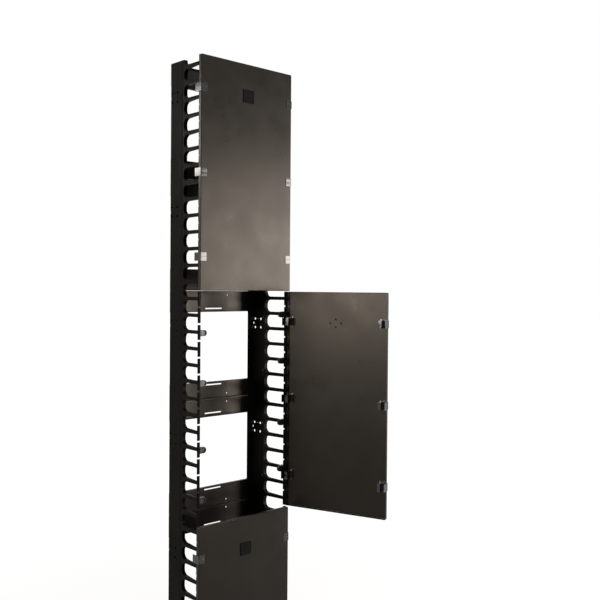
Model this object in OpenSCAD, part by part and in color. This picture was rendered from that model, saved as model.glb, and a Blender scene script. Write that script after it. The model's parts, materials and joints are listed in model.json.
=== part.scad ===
// Vertical cable manager for a two-post equipment rack: two side channels joined by
// crossbars, finger panels along both front edges, and three doors whose clips ride on the
// beaded tips of the fingers. Millimetres, +Z up, +Y towards the back, +X to the right.
// The origin is the centre of the lowest right-hand group of rack bolt holes.

/* [Overall] */
// Height of one rack unit
rack_unit = 44.45; // [42:0.05:48]
// Width over the two side channels
frame_w = 304.8; // [240:0.1:420]
// Depth from the face of the closed doors to the back of the crossbars
depth = 152.4; // [140:0.1:240]
// Rack units in one finger panel and its bay
panel_units = 7; // [6:1:8]

/* [Side channels] */
// Sheet thickness of the side channels
channel_t = 1.8; // [1.2:0.1:3]
// Width of the rear flange
rear_flange_w = 25; // [20:0.5:35]
// Width of the front flange
front_flange_w = 12; // [11:0.5:18]
// Inner radius of the channel's bends
channel_bend = 1.2; // [0.5:0.1:1.5]
// Distance from the door face to the front flange
flange_y = 93; // [88:0.5:98]

/* [Rack bolt holes] */
// Radius of a bolt hole
bolt_r = 3.55; // [2.5:0.05:5]
// Spacing of the holes in a group, both ways
bolt_pitch = 25.4; // [20:0.1:30]
// Distance from the manager's back to the middle of each group
bolt_back = 21.8; // [18:0.1:30]
// Distance from the top of each bay to the middle of its group
bolt_drop = 95.6; // [80:0.1:120]
// Height of the marking notch in the back corner beside each group
notch_h = 6; // [4:0.5:10]
// Radius of the marking hole between each group's upper two holes
mark_r = 1.4; // [1:0.1:2.5]

/* [Crossbars] */
// Sheet thickness of the crossbars
bar_t = 1.5; // [1:0.1:2.5]
// Height of a crossbar at a door seam
seam_bar_h = 60; // [50:1:75]
// Height of a crossbar at the middle of a door
mid_bar_h = 50; // [45:1:65]
// Depth of the folded lips
bar_lip = 8; // [5:0.5:12]
// Inner radius of the lips' bends
bar_bend = 1; // [0.5:0.1:2]
// Gap between two crossbars that meet
bar_gap = 0.8; // [0.4:0.1:2]
// Gap between the lips and the side channels
lip_gap = 1; // [0.5:0.1:3]
// Length of the strap slot
slot_l = 60; // [40:1:90]
// Height of the strap slot
slot_h = 3.6; // [2.5:0.1:6]
// Distance from the slot's middle to the bar's window edge
slot_edge = 9.5; // [6:0.5:14]
// Radius of the two tie holes
tie_hole_r = 2; // [1.5:0.1:3]
// Distance of each tie hole from the middle of the bar
tie_hole_x = 50; // [30:1:80]
// Distance of each tie hole from the bar's outer edge
tie_hole_z = 11.5; // [8:0.5:16]

/* [Finger panels] */
// Height of a finger
finger_h = 9.5; // [7:0.1:12]
// Thickness of a finger at its tip
finger_tip_t = 2.6; // [2:0.1:3.2]
// Thickness of a finger at its root
finger_root_t = 11.3; // [9.6:0.1:11.5]
// Length behind the tab over which a finger stays thin
finger_thin_l = 4.5; // [2:0.5:30]
// Distance from the top of a panel to its first finger, in rack units
finger_drop = 0.46; // [0.45:0.005:0.5]
// Radius at the roots of the fingers
root_r = 14; // [4:0.5:16]
// Thickness of the strip that carries the fingers
strip_t = 5; // [4:0.5:7]
// Gap between the tabs of neighbouring fingers
tab_gap = 4.8; // [3.5:0.1:7]
// Thickness of a tab
tab_t = 3; // [2.4:0.1:3.6]
// Radius of the bead along a tab's outer edge
bead_r = 2.5; // [2:0.1:3]
// Distance from the channel's outer face out to the middle of the bead
bead_out = 3.2; // [2.6:0.1:3.6]
// Clearance between a panel and the end of its bay, and behind the channel's face
panel_gap = 0.2; // [0.1:0.05:0.5]
// Radius of a panel screw's head
screw_head_r = 3.5; // [2.5:0.1:4.5]
// Height of a panel screw's head
screw_head_h = 2; // [1:0.1:3]
// Radius of a panel screw's shank
screw_r = 1.8; // [1.4:0.1:2.2]
// Depth of a panel screw's shank in the panel
screw_bite = 4; // [2:0.5:4.5]

/* [Cable retainers] */
// Reach of a retainer past the tab
retainer_l = 21; // [15:0.5:26]
// Height of a retainer
retainer_h = 17; // [12:0.5:18]
// Thickness of a retainer
retainer_t = 6; // [4.5:0.5:8]
// Width of the retainer's rim
retainer_rim = 2.4; // [1.5:0.1:3]
// Depth of the hollow inside the rim
retainer_hollow = 2.5; // [1:0.1:3.5]
// Drop of the retainer's middle below its finger
retainer_drop = 2; // [0:0.5:2.5]
// Length of the prongs that hold the finger
prong_l = 8; // [5:0.5:12]
// Thickness of a prong
prong_t = 2; // [1.5:0.1:3]

/* [Doors] */
// Width that each door reaches past the frame on each side
door_over = 7.6; // [6.6:0.1:9]
// Sheet thickness of a door
door_t = 1.2; // [0.8:0.1:2]
// Depth of a door's folded edges
door_fold = 9; // [6:0.5:9]
// Corner radius of a door
door_r = 4.5; // [3:0.5:10]
// Inner radius of the bends round a door's face
door_bend = 0.8; // [0.4:0.1:1.5]
// Gap between neighbouring doors
door_gap = 2; // [1:0.5:4]
// Gap between a closed door's folded edges and the beads
bead_gap = 0.8; // [0.6:0.1:1.5]
// How far the middle door stands open
middle_door_open = 108; // [0:1:115]
// Radius of a badge stud hole
stud_hole_r = 1.6; // [1:0.1:2.5]
// Distance of the outer stud holes from the badge's middle, sideways
stud_x = 17; // [10:0.5:30]
// Distance of the upper and lower stud holes from the badge's middle
stud_z = 11; // [6:0.5:20]
// Distance of the badge from the door's top, in rack units
badge_drop = 2; // [1.5:0.1:3]

/* [Door clips] */
// Width of a clip across the door's edge
clip_w = 19.5; // [17:0.5:24]
// Height of a clip
clip_h = 22; // [18:0.5:23]
// How far a clip stands proud of the door's face
clip_proud = 1.2; // [0.5:0.1:2]
// Distance of a clip's raised face from the door's edge
face_in = 1.5; // [0:0.5:4]
// Reach of the jaws behind the bead's middle
jaw_l = 12.7; // [8:0.1:15]
// Thickness of the outer jaw
outer_jaw_t = 1.2; // [1:0.1:1.8]
// Running clearance between the bead and its seat
seat_gap = 0.1; // [0.05:0.01:0.2]
// Height of the groove across a clip's face
groove_h = 1.4; // [0.8:0.1:2.5]
// Depth of that groove
groove_d = 0.7; // [0.3:0.1:1]
// Reach of the ears that hold the clip behind the sheet
ear_l = 4.5; // [3:0.5:7]
// Thickness of the ears
ear_t = 2; // [1:0.1:3]
// Rise of the ears above and below the clip
ear_rise = 3; // [1:0.5:5]

/* [Hidden] */
$fn = 24;
eps = 0.02;
// How far a cut runs past the solid that it cuts
over = 1;

LEFT = -1;
RIGHT = 1;
TOP = 1;
MIDDLE = 2;
BOTTOM = 3;

// Bays, bars and doors are counted from the top, and two bays stand behind each door
bays = 6;
bays_per_door = 2;
bay_h = panel_units * rack_unit;
frame_h = bays * bay_h;
door_w = frame_w + 2 * door_over;
door_h = bays_per_door * bay_h - door_gap;
function bay_top(bay) = frame_h - (bay - 1) * bay_h;
function door_space_top(d) = frame_h - (d - 1) * bays_per_door * bay_h;
function bar_h(n) = floor(n / 2) % bays_per_door == 0 ? seam_bar_h : mid_bar_h;

// Places along the depth, from the face of the closed doors
channel_back_y = depth - bar_t;
bolt_y = depth - bolt_back;
channel_r = channel_bend + channel_t;
screw_x = (channel_r + front_flange_w) / 2;
bead_y = door_fold + bead_gap + bead_r;
tab_front_y = bead_y - tab_t / 2;
root_y = flange_y - strip_t;

// Fingers: their pitch is one rack unit, and two of each seven carry a cable retainer
gap_h = rack_unit - finger_h;
tab_h = rack_unit - tab_gap;
inner_x = panel_gap + finger_tip_t;
retainer_fingers_left = [2, 5];
retainer_fingers_right = [1, 4];
screw_places = [0.25, 0.75];
function finger_z(k) = -(finger_drop + k) * rack_unit;

// Clips sit over the gaps between the tabs, at these counts of fingers below a door's top.
// Their jaws leave the tab free to turn in them until the door stands at max_open.
clip_fingers = [2, 7, 12];
max_open = 115;
jaw_gap = 0.45;
bead_edge = door_over - bead_out;
tab_l = bead_out + inner_x;
inner_jaw_x = bead_edge + norm([tab_l, tab_t / 2]) + jaw_gap;
outer_jaw_x = bead_edge + tab_l * cos(max_open) - tab_t / 2 * sin(max_open) - jaw_gap;
clip_edge_x = outer_jaw_x - outer_jaw_t;
clip_back_y = tab_front_y - 0.3;
notch_gap = 0.15;
function clip_z(n) = finger_z(n - 0.5);

// Moves the frame from the middle of its foot, under the door faces, to the bolt holes
module to_mount() {
    translate([-frame_w / 2, -bolt_y, bolt_drop - bay_h]) children();
}

// Draws a left-hand piece on either side: x counts inwards from the channel's outer face
module on_side(side) {
    if (side == LEFT) translate([-frame_w / 2, 0, 0]) children();
    else mirror([1, 0, 0]) translate([-frame_w / 2, 0, 0]) children();
}

// Draws a left-hand clip on either edge: x counts inwards from the door's edge
module on_edge(side) {
    on_side(side) translate([-door_over, 0, 0]) children();
}

// Swings a door about the middle of the right-hand beads
module swing(angle) {
    axis = [frame_w / 2 + bead_out, bead_y, 0];
    translate(axis) rotate([0, 0, angle]) translate(-axis) children();
}

// A quarter bend in sheet of thickness t with outer radius r. Its flats leave along +x, at
// the bottom, and along +y, at the left, and its outer corner is at [0, 0].
module bend(r, t) {
    intersection() {
        translate([r, r]) difference() {
            circle(r = r);
            circle(r = r - t);
        }
        square(r);
    }
}

// ---- Side channels ----

module channel_section() {
    web_l = channel_back_y - flange_y - 2 * channel_r;
    translate([0, flange_y]) bend(channel_r, channel_t);
    translate([channel_r, flange_y]) square([front_flange_w - channel_r, channel_t]);
    translate([0, flange_y + channel_r]) square([channel_t, web_l]);
    translate([0, channel_back_y]) mirror([0, 1]) bend(channel_r, channel_t);
    translate([channel_r, channel_back_y - channel_t])
        square([rear_flange_w - channel_r, channel_t]);
}

// The four rack bolt holes of one bay and the notch that marks them
module bolt_group() {
    for (dy = [-0.5, 0.5], dz = [-0.5, 0.5])
        translate([-over, bolt_y + dy * bolt_pitch, dz * bolt_pitch])
            rotate([0, 90, 0]) cylinder(r = bolt_r, h = channel_t + 2 * over);
    translate([-over, bolt_y, bolt_pitch / 2])
        rotate([0, 90, 0]) cylinder(r = mark_r, h = channel_t + 2 * over);
    translate([-over, channel_back_y - channel_r, -notch_h / 2])
        cube([channel_r + over, channel_r + over, notch_h]);
}

module side_channel(side) {
    to_mount() color("#201d1b") on_side(side) difference() {
        linear_extrude(frame_h) channel_section();
        for (bay = [1 : bays]) translate([0, 0, bay_top(bay)]) {
            translate([0, 0, -bolt_drop]) bolt_group();
            at_screws() translate([0, 0, -over]) cylinder(r = screw_r, h = channel_t + 2 * over);
        }
    }
}

// Places the panel screws of one bay, with their axis along z and the flange's front at 0
module at_screws() {
    for (q = screw_places) translate([screw_x, flange_y, -q * bay_h])
        rotate([-90, 0, 0]) children();
}

// ---- Crossbars ----

// A crossbar's strap slot, lying along x
module slot_outline() {
    square([slot_l - slot_h, slot_h], center = true);
    for (s = [-1, 1]) translate([s * (slot_l - slot_h) / 2, 0]) circle(d = slot_h);
}

// A crossbar's section seen from its end, from z = 0 upwards, with both lips bent forwards
module bar_section(h) {
    r = bar_bend + bar_t;
    for (m = [0, 1]) translate([depth, m * h]) mirror([0, m]) mirror([1, 0]) {
        bend(r, bar_t);
        translate([r, 0]) square([bar_t + bar_lip - r, bar_t]);
    }
    translate([channel_back_y, r]) square([bar_t, h - 2 * r]);
}

// One crossbar, with its outer edge at z = 0 and its edge on the bay's window at z = h
module bar_shape(h) {
    lap_w = frame_w - 2 * channel_t;
    lip_w = frame_w - 2 * (rear_flange_w + lip_gap);
    difference() {
        union() {
            translate([-lip_w / 2, 0, 0]) rotate([90, 0, 90])
                linear_extrude(lip_w) bar_section(h);
            for (s = [-1, 1]) translate([s * (lap_w + lip_w) / 4, depth - bar_t / 2, h / 2])
                cube([(lap_w - lip_w) / 2 + eps, bar_t, h], center = true);
        }
        translate([0, channel_back_y - over, h - slot_edge]) rotate([-90, 0, 0])
            linear_extrude(bar_t + 2 * over) slot_outline();
        for (s = [-1, 1]) translate([s * tie_hole_x, channel_back_y - over, tie_hole_z])
            rotate([-90, 0, 0]) cylinder(r = tie_hole_r, h = bar_t + 2 * over);
    }
}

// Odd bars hang from the top of a bay and even bars stand on its bottom
module crossbar(n) {
    bay = ceil(n / 2);
    to_mount() color("#3a3531")
        if (n % 2 == 1) translate([0, 0, bay_top(bay) - bar_gap / 2])
            mirror([0, 0, 1]) bar_shape(bar_h(n));
        else translate([0, 0, bay_top(bay + 1) + bar_gap / 2]) bar_shape(bar_h(n));
}

// ---- Finger panels ----

// The opening between two fingers, seen from the side, rounded at the roots
module gap_profile() {
    front = tab_front_y - over;
    r = min(root_r, gap_h / 2 - 0.5);
    translate([front, -gap_h / 2]) square([root_y - r - front, gap_h]);
    translate([front, r - gap_h / 2]) square([root_y - front, gap_h - 2 * r]);
    for (s = [-1, 1]) translate([root_y - r, s * (gap_h / 2 - r)]) circle(r = r);
}

// A panel seen from the side: the strip with its fingers, and its top edge at 0
module panel_profile() {
    difference() {
        translate([tab_front_y, panel_gap - bay_h])
            square([flange_y - tab_front_y, bay_h - 2 * panel_gap]);
        for (k = [0 : panel_units]) translate([0, finger_z(k - 0.5)]) gap_profile();
    }
}

// What is cut off inside the fingers, seen from above, so that they taper to their tips
module taper_cut() {
    thin_to_y = tab_front_y + tab_t + finger_thin_l;
    thick_from_y = root_y - root_r / 2;
    root_x = panel_gap + finger_root_t;
    polygon([[inner_x, 0], [inner_x, thin_to_y], [root_x, thick_from_y],
             [root_x + over, thick_from_y], [root_x + over, 0]]);
}

// One finger's tab with the bead along its outer edge, seen from above
module tab_section() {
    translate([-bead_out, bead_y]) circle(r = bead_r);
    translate([-bead_out, tab_front_y]) square([tab_l, tab_t]);
}

module finger_panel(side, bay) {
    to_mount() color("#1c1a18") on_side(side) translate([0, 0, bay_top(bay)]) {
        difference() {
            translate([panel_gap, 0, 0]) rotate([90, 0, 90])
                linear_extrude(finger_root_t) panel_profile();
            translate([0, 0, -bay_h]) linear_extrude(bay_h) taper_cut();
            at_screws() translate([0, 0, -screw_bite])
                cylinder(r = screw_r, h = screw_bite + over);
        }
        for (k = [0 : panel_units - 1]) translate([0, 0, finger_z(k) - tab_h / 2])
            linear_extrude(tab_h) tab_section();
    }
}

// Screws that hold the panels, driven forwards through the channel's front flange
module panel_screws(side) {
    to_mount() color("#6d6a66") on_side(side) for (bay = [1 : bays])
        translate([0, 0, bay_top(bay)]) at_screws() {
            translate([0, 0, channel_t]) cylinder(r = screw_head_r, h = screw_head_h);
            translate([0, 0, -screw_bite]) cylinder(r = screw_r, h = screw_bite + channel_t + eps);
        }
}

// ---- Cable retainers ----

// The paddle's outline seen from the front, shrunk by a margin
module paddle_outline(margin) {
    r = retainer_h / 2 - margin;
    translate([margin, -r]) square([retainer_l - retainer_h / 2 - margin, 2 * r]);
    translate([retainer_l - retainer_h / 2, 0]) circle(r = r);
}

// A paddle that reaches in from a finger's tip, and two prongs that hold the finger
module retainer() {
    translate([inner_x, tab_front_y + retainer_t, -retainer_drop]) rotate([90, 0, 0])
        difference() {
            linear_extrude(retainer_t) paddle_outline(0);
            translate([0, 0, retainer_t - retainer_hollow])
                linear_extrude(retainer_hollow + over) paddle_outline(retainer_rim);
        }
    for (z = [finger_h / 2, -finger_h / 2 - prong_t])
        translate([panel_gap, tab_front_y + tab_t, z]) cube([finger_tip_t + over, prong_l, prong_t]);
}

module cable_retainers(side) {
    fingers = side == LEFT ? retainer_fingers_left : retainer_fingers_right;
    to_mount() color("#141312") on_side(side) for (bay = [1 : bays], k = fingers)
        translate([0, 0, bay_top(bay) + finger_z(k)]) retainer();
}

// ---- Doors ----

module rounded_rect(w, h, r) {
    square([w - 2 * r, h], center = true);
    square([w, h - 2 * r], center = true);
    for (x = [-1, 1], z = [-1, 1]) translate([x * (w / 2 - r), z * (h / 2 - r)]) circle(r = r);
}

// A door's edge seen end on: square behind and rounded in front, where the sheet bends
module bent_block(span, inset) {
    r = door_bend + door_t - inset;
    translate([-span / 2, inset + r]) square([span, door_fold]);
    translate([r - span / 2, inset]) square([span - 2 * r, r]);
    for (s = [-1, 1]) translate([s * (span / 2 - r), inset + r]) circle(r = r);
}

// The space inside a skin that lies this far in from the pan's outer surface
module pan_block(inset, deep) {
    w = door_w - 2 * inset;
    h = door_h - 2 * inset;
    intersection() {
        rotate([-90, 0, 0]) linear_extrude(deep) rounded_rect(w, h, door_r - inset);
        linear_extrude(h, center = true) bent_block(w, inset);
        rotate([0, -90, 0]) linear_extrude(w, center = true) bent_block(h, inset);
    }
}

// A pan of folded sheet with its face at y = 0 and its middle at z = 0
module pan() {
    difference() {
        pan_block(0, door_fold);
        pan_block(door_t, door_fold + over);
    }
}

// The notches for the clips of one edge
module clip_notches() {
    for (n = clip_fingers)
        translate([-over, -over, clip_z(n) - clip_h / 2 - notch_gap])
            cube([clip_w + notch_gap + over, door_fold + 2 * over, clip_h + 2 * notch_gap]);
}

// The four stud holes of the badge, on a diamond
module stud_holes() {
    for (p = [[-stud_x, 0], [stud_x, 0], [0, -stud_z], [0, stud_z]])
        translate([p.x, -over, p.y]) rotate([-90, 0, 0])
            cylinder(r = stud_hole_r, h = door_t + 2 * over);
}

module door(d, open) {
    to_mount() color("#4a433d") swing(open) translate([0, 0, door_space_top(d)]) difference() {
        translate([0, 0, -(door_h + door_gap) / 2]) pan();
        for (side = [LEFT, RIGHT]) on_edge(side) clip_notches();
        translate([0, 0, -badge_drop * rack_unit]) stud_holes();
    }
}

// ---- Door clips ----

// The solid of a clip before its seat and groove are cut: a body that fills the door's
// notch, two jaws that straddle the bead and the tab, and an ear behind the sheet
module clip_body() {
    jaw_end = bead_y + jaw_l;
    translate([clip_edge_x, 0, 0]) cube([clip_w - clip_edge_x, clip_back_y, clip_h]);
    translate([face_in, -clip_proud, 0]) cube([clip_w - face_in, clip_proud + over, clip_h]);
    translate([clip_edge_x, 0, 0]) cube([outer_jaw_t, jaw_end, clip_h]);
    translate([clip_edge_x, 0, 0]) cube([bead_edge - clip_edge_x, bead_y, clip_h]);
    translate([inner_jaw_x, 0, 0]) cube([clip_w - inner_jaw_x, jaw_end, clip_h]);
    translate([clip_w - over, door_t, -ear_rise])
        cube([ear_l + over, ear_t, clip_h + 2 * ear_rise]);
}

module clip_shape() {
    difference() {
        translate([0, 0, -clip_h / 2]) clip_body();
        translate([bead_edge, bead_y, -clip_h / 2 - over])
            cylinder(r = bead_r + seat_gap, h = clip_h + 2 * over);
        translate([0, -clip_proud - over, -groove_h / 2])
            cube([clip_w + over, groove_d + over, groove_h]);
    }
}

module door_clips(d, side, open) {
    to_mount() color("#100f0e") swing(open) translate([0, 0, door_space_top(d)])
        on_edge(side) for (n = clip_fingers) translate([0, 0, clip_z(n)]) clip_shape();
}

// ---- Nodes ----

side_channel(LEFT);  // side_channel_left
side_channel(RIGHT);  // side_channel_right
crossbar(1);  // crossbar_1
crossbar(2);  // crossbar_2
crossbar(3);  // crossbar_3
crossbar(4);  // crossbar_4
crossbar(5);  // crossbar_5
crossbar(6);  // crossbar_6
crossbar(7);  // crossbar_7
crossbar(8);  // crossbar_8
crossbar(9);  // crossbar_9
crossbar(10);  // crossbar_10
crossbar(11);  // crossbar_11
crossbar(12);  // crossbar_12
finger_panel(LEFT, 1);  // finger_panel_left_1
finger_panel(LEFT, 2);  // finger_panel_left_2
finger_panel(LEFT, 3);  // finger_panel_left_3
finger_panel(LEFT, 4);  // finger_panel_left_4
finger_panel(LEFT, 5);  // finger_panel_left_5
finger_panel(LEFT, 6);  // finger_panel_left_6
finger_panel(RIGHT, 1);  // finger_panel_right_1
finger_panel(RIGHT, 2);  // finger_panel_right_2
finger_panel(RIGHT, 3);  // finger_panel_right_3
finger_panel(RIGHT, 4);  // finger_panel_right_4
finger_panel(RIGHT, 5);  // finger_panel_right_5
finger_panel(RIGHT, 6);  // finger_panel_right_6
panel_screws(LEFT);  // panel_screws_left
panel_screws(RIGHT);  // panel_screws_right
cable_retainers(LEFT);  // cable_retainers_left
cable_retainers(RIGHT);  // cable_retainers_right
door(TOP, 0);  // door_top
door(MIDDLE, middle_door_open);  // door_middle
door(BOTTOM, 0);  // door_bottom
door_clips(TOP, LEFT, 0);  // clips_top_left
door_clips(TOP, RIGHT, 0);  // clips_top_right
door_clips(MIDDLE, LEFT, middle_door_open);  // clips_middle_left
door_clips(MIDDLE, RIGHT, middle_door_open);  // clips_middle_right
door_clips(BOTTOM, LEFT, 0);  // clips_bottom_left
door_clips(BOTTOM, RIGHT, 0);  // clips_bottom_right
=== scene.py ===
"""Looks for the vertical cable manager: coats, mouldings, badge plates, studio and camera."""

import json
import math

import bmesh
import bpy
from mathutils import Matrix, Vector


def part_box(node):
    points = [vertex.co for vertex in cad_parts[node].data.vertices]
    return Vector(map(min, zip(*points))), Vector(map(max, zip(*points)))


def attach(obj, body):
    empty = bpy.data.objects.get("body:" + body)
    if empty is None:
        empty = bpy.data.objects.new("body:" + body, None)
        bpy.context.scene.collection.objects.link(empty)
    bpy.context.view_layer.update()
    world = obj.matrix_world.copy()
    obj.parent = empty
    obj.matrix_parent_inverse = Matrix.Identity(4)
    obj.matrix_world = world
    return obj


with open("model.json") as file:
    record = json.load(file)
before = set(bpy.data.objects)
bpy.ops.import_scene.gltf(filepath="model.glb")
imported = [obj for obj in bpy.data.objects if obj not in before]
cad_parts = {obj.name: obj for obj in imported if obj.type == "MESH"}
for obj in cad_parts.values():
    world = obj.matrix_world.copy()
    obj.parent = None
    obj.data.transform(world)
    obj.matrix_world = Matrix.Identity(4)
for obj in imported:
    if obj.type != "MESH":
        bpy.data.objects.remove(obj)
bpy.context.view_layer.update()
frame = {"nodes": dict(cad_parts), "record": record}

MM = 0.001
RACK_UNIT = 44.45 * MM
DOORS = ("top", "middle", "bottom")

# ---------------------------------------------------------------- places from the frame
DOOR_LO, DOOR_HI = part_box("door_top")
DOOR_MID_X = (DOOR_LO[0] + DOOR_HI[0]) / 2
DOOR_FACE_Y = DOOR_LO[1]
FOOT_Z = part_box("side_channel_left")[0][2]
SEAM_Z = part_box("crossbar_4")[0][2]
HINGE = {j["child"]: Vector(j["pos_m"]) for j in frame["record"]["behaviour"]["joints"]}
MIDDLE_OPEN = math.radians(108)  # how far the middle door stands open at rest
DOOR_GAP_HALF = 1 * MM


# ---------------------------------------------------------------- small node helpers
class Nodes:
    """A material's node tree with short calls for adding and linking nodes."""

    def __init__(self, name):
        self.material = bpy.data.materials.new(name)
        self.material.use_nodes = True
        self.tree = self.material.node_tree
        self.shader = self.tree.nodes["Principled BSDF"]
        self.coords = self.add("ShaderNodeTexCoord").outputs["Object"]

    def add(self, kind, **settings):
        node = self.tree.nodes.new(kind)
        for key, value in settings.items():
            setattr(node, key, value)
        return node

    def link(self, output, socket):
        self.tree.links.new(output, socket)

    def noise(self, scale, detail=3.0, roughness=0.5, stretch=(1, 1, 1)):
        """A noise field's factor, at a scale in features per metre."""
        mapping = self.add("ShaderNodeMapping")
        mapping.inputs["Scale"].default_value = stretch
        self.link(self.coords, mapping.inputs["Vector"])
        noise = self.add("ShaderNodeTexNoise")
        noise.inputs["Scale"].default_value = scale
        noise.inputs["Detail"].default_value = detail
        noise.inputs["Roughness"].default_value = roughness
        self.link(mapping.outputs["Vector"], noise.inputs["Vector"])
        return noise.outputs["Fac"]

    def ramp(self, factor, low, high, start=0.35, end=0.65):
        """A factor turned into a colour or grey between two ends."""
        ramp = self.add("ShaderNodeValToRGB")
        ramp.color_ramp.elements[0].position = start
        ramp.color_ramp.elements[1].position = end
        ramp.color_ramp.elements[0].color = (*low, 1)
        ramp.color_ramp.elements[1].color = (*high, 1)
        self.link(factor, ramp.inputs["Fac"])
        return ramp.outputs["Color"]

    def bump(self, *layers):
        """Stacks (height, strength, distance) layers of bump on the shader."""
        normal = None
        for height, strength, distance in layers:
            bump = self.add("ShaderNodeBump")
            bump.inputs["Strength"].default_value = strength
            bump.inputs["Distance"].default_value = distance
            self.link(height, bump.inputs["Height"])
            if normal:
                self.link(normal, bump.inputs["Normal"])
            normal = bump.outputs["Normal"]
        self.link(normal, self.shader.inputs["Normal"])

    def edge_wear(self, colour, worn, radius, amount):
        """Mixes a paler colour in along sharp edges, broken up by noise."""
        bevel = self.add("ShaderNodeBevel", samples=4)
        bevel.inputs["Radius"].default_value = radius
        flat = self.add("ShaderNodeNewGeometry")
        dot = self.add("ShaderNodeVectorMath", operation="DOT_PRODUCT")
        self.link(bevel.outputs["Normal"], dot.inputs[0])
        self.link(flat.outputs["Normal"], dot.inputs[1])
        edge = self.add("ShaderNodeMapRange")
        edge.inputs["From Min"].default_value = 0.99
        edge.inputs["From Max"].default_value = 0.75
        edge.inputs["To Max"].default_value = amount
        self.link(dot.outputs["Value"], edge.inputs["Value"])
        mix = self.add("ShaderNodeMix", data_type="RGBA")
        mix.inputs["B"].default_value = (*worn, 1)
        self.link(edge.outputs["Result"], mix.inputs["Factor"])
        self.link(colour, mix.inputs["A"])
        return mix.outputs["Result"]


COAT_TINT = (1.0, 0.9, 0.79)  # the warm cast of the coats' reflections


def powder_coat(name, dark, light, rough, gloss):
    """Satin powder coat on sheet steel: fine orange peel, faint mottling, softly worn edges."""
    n = Nodes(name)
    colour = n.ramp(n.noise(6, detail=4), dark, light)
    worn = tuple(min(1, 3 * c + 0.01) for c in light)
    n.link(n.edge_wear(colour, worn, 0.9 * MM, 0.35), n.shader.inputs["Base Color"])
    n.link(n.ramp(n.noise(14), (rough - 0.03,) * 3, (rough + 0.04,) * 3),
           n.shader.inputs["Roughness"])
    n.bump((n.noise(700, detail=2), 0.03, 0.3 * MM), (n.noise(1900, detail=1), 0.04, 0.15 * MM))
    n.shader.inputs["Specular IOR Level"].default_value = gloss
    n.shader.inputs["Specular Tint"].default_value = (*COAT_TINT, 1)
    return n.material


def moulded_plastic(name, dark, light, rough, gloss, grain=1.0):
    """Injection-moulded plastic: spark texture, slight flow marks."""
    n = Nodes(name)
    colour = n.ramp(n.noise(25, detail=3, stretch=(1, 1, 0.2)), dark, light)
    n.link(colour, n.shader.inputs["Base Color"])
    n.link(n.ramp(n.noise(60), (rough - 0.04,) * 3, (rough + 0.05,) * 3),
           n.shader.inputs["Roughness"])
    n.bump((n.noise(1400, detail=2), 0.1 * grain, 0.2 * MM), (n.noise(90), 0.05 * grain, 0.3 * MM))
    n.shader.inputs["Specular IOR Level"].default_value = gloss
    return n.material


def zinc(name):
    """Bright zinc plate with turning marks."""
    n = Nodes(name)
    n.link(n.ramp(n.noise(400, detail=4), (0.35, 0.34, 0.32), (0.55, 0.54, 0.5)),
           n.shader.inputs["Base Color"])
    n.link(n.ramp(n.noise(900), (0.25,) * 3, (0.4,) * 3), n.shader.inputs["Roughness"])
    n.bump((n.noise(1500), 0.1, 0.1 * MM))
    n.shader.inputs["Metallic"].default_value = 1
    return n.material


# Darkest and lightest colour, roughness, specular level and, for mouldings, grain
POWDER = {
    "channel_coat": ((0.002, 0.0018, 0.0014), (0.0032, 0.0029, 0.0024), 0.5, 0.03),
    "crossbar_coat": ((0.004, 0.0032, 0.0024), (0.0055, 0.0046, 0.0036), 0.34, 0.3),
    "door_coat": ((0.0035, 0.0027, 0.0018), (0.0045, 0.0036, 0.0026), 0.3, 0.17),
}
PLASTIC = {
    "finger_plastic": ((0.0018, 0.0016, 0.0013), (0.003, 0.0027, 0.0023), 0.42, 0.03),
    "retainer_plastic": ((0.004, 0.0037, 0.0034), (0.007, 0.0065, 0.006), 0.3, 0.3),
    "clip_plastic": ((0.002, 0.002, 0.002), (0.0035, 0.0034, 0.0033), 0.12, 0.5, 0.3),
}
COAT = {name: powder_coat(name, *look) for name, look in POWDER.items()}
COAT.update({name: moulded_plastic(name, *look) for name, look in PLASTIC.items()})
COAT["screw_zinc"] = zinc("screw_zinc")


# ---------------------------------------------------------------- the CAD nodes' finish
WELD_WITHIN = 0.002 * MM
SHARP_ABOVE = math.radians(35)
EDGE_MM = {"channel_coat": 0.4, "crossbar_coat": 0.4, "door_coat": 0.4, "finger_plastic": 0.5,
           "retainer_plastic": 0.5, "clip_plastic": 0.7, "screw_zinc": 0.3}


def soften(obj, width):
    """Joins a CAD node's faces, rounds its sharp edges and keeps its large faces flat."""
    join = obj.modifiers.new("join_faces", "WELD")
    join.merge_threshold = WELD_WITHIN
    bevel = obj.modifiers.new("soft_edges", "BEVEL")
    bevel.width = width
    bevel.segments = 2
    bevel.limit_method = "ANGLE"
    bevel.angle_limit = SHARP_ABOVE
    bevel.harden_normals = True
    bevel.use_clamp_overlap = True
    flat = obj.modifiers.new("flat_faces", "WEIGHTED_NORMAL")
    flat.mode = "FACE_AREA"
    flat.weight = 100


slot_of = {row["node"]: row["material_slot"] for row in frame["record"]["subparts"]}
for node, obj in frame["nodes"].items():
    slot = slot_of[node]
    obj.data.materials.clear()
    obj.data.materials.append(COAT[slot])
    soften(obj, EDGE_MM[slot] * MM)


# ---------------------------------------------------------------- badge plates
def rounded_plate(bm, width, height, radius, y, corner_steps=5):
    """A ring of vertices round a rounded rectangle in the plane y, anticlockwise from -Y."""
    ring = []
    for cx, cz, start in ((1, -1, -90), (1, 1, 0), (-1, 1, 90), (-1, -1, 180)):
        for i in range(corner_steps + 1):
            a = math.radians(start + 90 * i / corner_steps)
            ring.append(bm.verts.new((cx * (width / 2 - radius) + radius * math.cos(a), y,
                                      cz * (height / 2 - radius) + radius * math.sin(a))))
    return ring


# The badge's studs pass through the door's four holes; their ends are staked over inside
STUDS = ((-17, 0), (17, 0), (0, -11), (0, 11))
STUD_PROFILE = ((1.45, -0.3), (1.45, 1.3), (2.5, 1.3), (2.7, 1.5), (2.6, 1.9), (1.8, 2.2))


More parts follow.
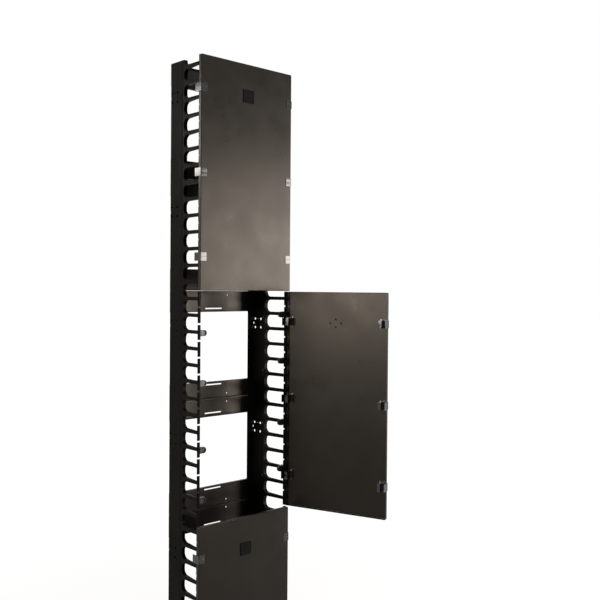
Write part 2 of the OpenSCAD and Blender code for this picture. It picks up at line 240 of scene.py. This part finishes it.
def turned(bm, x, z, profile, sides=24):
    """A closed solid turned about an axis along Y, from (radius, y) pairs in mm."""
    rings = [[bm.verts.new((x + r * MM * math.cos(a), y * MM, z + r * MM * math.sin(a)))
              for a in (2 * math.pi * i / sides for i in range(sides))] for r, y in profile]
    for a, b in zip(rings, rings[1:]):
        for i in range(sides):
            j = (i + 1) % sides
            bm.faces.new((a[i], a[j], b[j], b[i]))
    bm.faces.new(rings[-1])
    bm.faces.new(reversed(rings[0]))


def badge_plate(name):
    """A bare moulded plate: a crowned rim, a slightly sunk face, a closed back and studs."""
    width, height, radius, thick = 38 * MM, 36 * MM, 3 * MM, 1.8 * MM
    steps = [(0.0, 0.0), (0.0, 0.55), (0.25, 0.85), (0.7, 1.0), (1.8, 1.0), (2.2, 0.8), (2.6, 0.72)]
    bm = bmesh.new()
    rings = [rounded_plate(bm, width - 2 * inset * MM, height - 2 * inset * MM,
                           max(radius - inset * MM, 0.5 * MM), -rise * thick)
             for inset, rise in steps]
    for a, b in zip(rings, rings[1:]):
        for i in range(len(a)):
            j = (i + 1) % len(a)
            bm.faces.new((a[i], a[j], b[j], b[i]))
    bm.faces.new(rings[-1])
    bm.faces.new(reversed(rings[0]))
    for x, z in STUDS:
        turned(bm, x * MM, z * MM, STUD_PROFILE)
    bmesh.ops.recalc_face_normals(bm, faces=bm.faces)
    mesh = bpy.data.meshes.new(name)
    bm.to_mesh(mesh)
    bm.free()
    obj = bpy.data.objects.new(name, mesh)
    bpy.context.scene.collection.objects.link(obj)
    mesh.materials.append(BADGE)
    return obj


BADGE = moulded_plastic("badge_face", (0.0012, 0.0012, 0.0014), (0.0024, 0.0024, 0.0026),
                        0.5, 0.04, 0.6)
BADGE_DROP = 2 * RACK_UNIT
for door in DOORS:
    plate = badge_plate(f"badge_plate_{door}")
    door_top_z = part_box(f"door_{door}")[1][2]
    place = Matrix.Translation((DOOR_MID_X, DOOR_FACE_Y, door_top_z + DOOR_GAP_HALF - BADGE_DROP))
    if door == "middle":
        hinge = Matrix.Translation(HINGE["door_middle"])
        place = hinge @ Matrix.Rotation(MIDDLE_OPEN, 4, "Z") @ hinge.inverted() @ place
    plate.data.transform(place)
    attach(plate, f"door_{door}")


# ---------------------------------------------------------------- studio
def seen_directly(tree):
    """1 for camera, glossy and transmission rays, 0 for the rest."""
    path = tree.nodes.new("ShaderNodeLightPath")
    total = path.outputs["Is Camera Ray"]
    for name in ("Is Glossy Ray", "Is Transmission Ray"):
        add = tree.nodes.new("ShaderNodeMath")
        add.operation = "MAXIMUM"
        tree.links.new(total, add.inputs[0])
        tree.links.new(path.outputs[name], add.inputs[1])
        total = add.outputs[0]
    return total


def make_world(ambient):
    world = bpy.data.worlds.new("studio")
    bpy.context.scene.world = world
    world.use_nodes = True
    tree = world.node_tree
    background = tree.nodes["Background"]
    background.inputs["Color"].default_value = (1, 1, 1, 1)
    strength = tree.nodes.new("ShaderNodeMapRange")
    strength.inputs["To Min"].default_value = ambient
    strength.inputs["To Max"].default_value = 1.0
    tree.links.new(seen_directly(tree), strength.inputs["Value"])
    tree.links.new(strength.outputs["Result"], background.inputs["Strength"])


FLOOR_STRENGTH = 1.08
SHADE_FROM_TO = (0.8, 2.6)  # metres from the object over which the floor turns plain white
NEAR_SHARE = 0.78  # how much of the near floor is plain white, the rest takes light and shadow


def make_floor():
    """White like the background where it is far off; near the object it takes shadows."""
    bpy.ops.mesh.primitive_plane_add(size=60, location=(0, 0, FOOT_Z))
    floor = bpy.context.object
    floor.name = "studio_floor"
    material = bpy.data.materials.new("floor_white")
    material.use_nodes = True
    tree = material.node_tree
    tree.nodes.clear()
    out = tree.nodes.new("ShaderNodeOutputMaterial")
    emit = tree.nodes.new("ShaderNodeEmission")
    emit.inputs["Color"].default_value = (1, 1, 1, 1)
    emit.inputs["Strength"].default_value = FLOOR_STRENGTH
    diffuse = tree.nodes.new("ShaderNodeBsdfDiffuse")
    diffuse.inputs["Color"].default_value = (0.9, 0.9, 0.9, 1)
    coords = tree.nodes.new("ShaderNodeTexCoord")
    away = tree.nodes.new("ShaderNodeVectorMath")
    away.operation = "LENGTH"
    tree.links.new(coords.outputs["Object"], away.inputs[0])
    share = tree.nodes.new("ShaderNodeMapRange")
    share.inputs["From Min"].default_value, share.inputs["From Max"].default_value = SHADE_FROM_TO
    share.inputs["To Min"].default_value = NEAR_SHARE
    tree.links.new(away.outputs["Value"], share.inputs["Value"])
    seen = tree.nodes.new("ShaderNodeMath")
    seen.operation = "MULTIPLY"
    tree.links.new(seen_directly(tree), seen.inputs[0])
    tree.links.new(share.outputs["Result"], seen.inputs[1])
    mix = tree.nodes.new("ShaderNodeMixShader")
    tree.links.new(seen.outputs[0], mix.inputs["Fac"])
    tree.links.new(diffuse.outputs[0], mix.inputs[1])
    tree.links.new(emit.outputs[0], mix.inputs[2])
    tree.links.new(mix.outputs[0], out.inputs["Surface"])
    floor.data.materials.append(material)


def softbox(name, target, bearing, distance, height, size, radiance, colour):
    """An area light that faces the target. Its bearing is in degrees from -Y towards +X."""
    a = math.radians(bearing)
    place = Vector((target.x + distance * math.sin(a), target.y - distance * math.cos(a), height))
    light = bpy.data.lights.new(name, "AREA")
    light.shape = "RECTANGLE"
    light.size, light.size_y = size
    light.energy = radiance * math.pi * size[0] * size[1]
    light.color = colour
    obj = bpy.data.objects.new(name, light)
    obj.location = place
    inwards = Vector((target.x, target.y, height)) - place
    obj.rotation_euler = inwards.to_track_quat("-Z", "Y").to_euler()
    bpy.context.scene.collection.objects.link(obj)


# ---------------------------------------------------------------- camera
EYE = Vector((-1.6126, -1.8910, 1.0396))
YAW, PITCH, ROLL = math.radians(43.32), math.radians(-0.844), math.radians(0.4376)
LENS_MM = 49.75


def make_camera():
    level = math.cos(PITCH)
    ahead = Vector((math.sin(YAW) * level, math.cos(YAW) * level, math.sin(PITCH)))
    right = Vector((math.cos(YAW), -math.sin(YAW), 0))
    up = right.cross(ahead)
    right, up = (right * math.cos(ROLL) + up * math.sin(ROLL),
                 up * math.cos(ROLL) - right * math.sin(ROLL))
    camera = bpy.data.cameras.new("camera")
    camera.lens = LENS_MM
    camera.sensor_width = 36
    camera.clip_start = 0.05
    obj = bpy.data.objects.new("camera", camera)
    turn = Matrix((right, up, -ahead)).transposed().to_4x4()
    obj.matrix_world = Matrix.Translation(EYE) @ turn
    bpy.context.scene.collection.objects.link(obj)
    bpy.context.scene.camera = obj


AMBIENT = 0.15  # the world's light on diffuse surfaces
make_world(AMBIENT)
make_floor()
make_camera()

WARM = (1.0, 0.93, 0.86)
CENTRE = Vector((DOOR_MID_X, DOOR_FACE_Y, SEAM_Z))
# Name, bearing in degrees, distance and height in metres, size in metres, radiance
SOFTBOXES = (
    ("softbox_front", 49, 3.0, 0.98, (1.9, 1.48), 16),  # mirrored by the closed doors
    ("softbox_left", -93, 3.0, 1.32, (1.0, 0.9), 24),  # mirrored by the open door's inner face
    ("softbox_rear", -143, 3.0, 1.96, (0.6, 0.5), 14),  # mirrored by the left clips' cheeks
    ("key", -24, 3.2, 2.0, (0.6, 0.6), 12),  # for edges, tabs and retainers
)
for name, *settings in SOFTBOXES:
    softbox(name, CENTRE, *settings, WARM)

bpy.context.scene.view_settings.view_transform = "Standard"
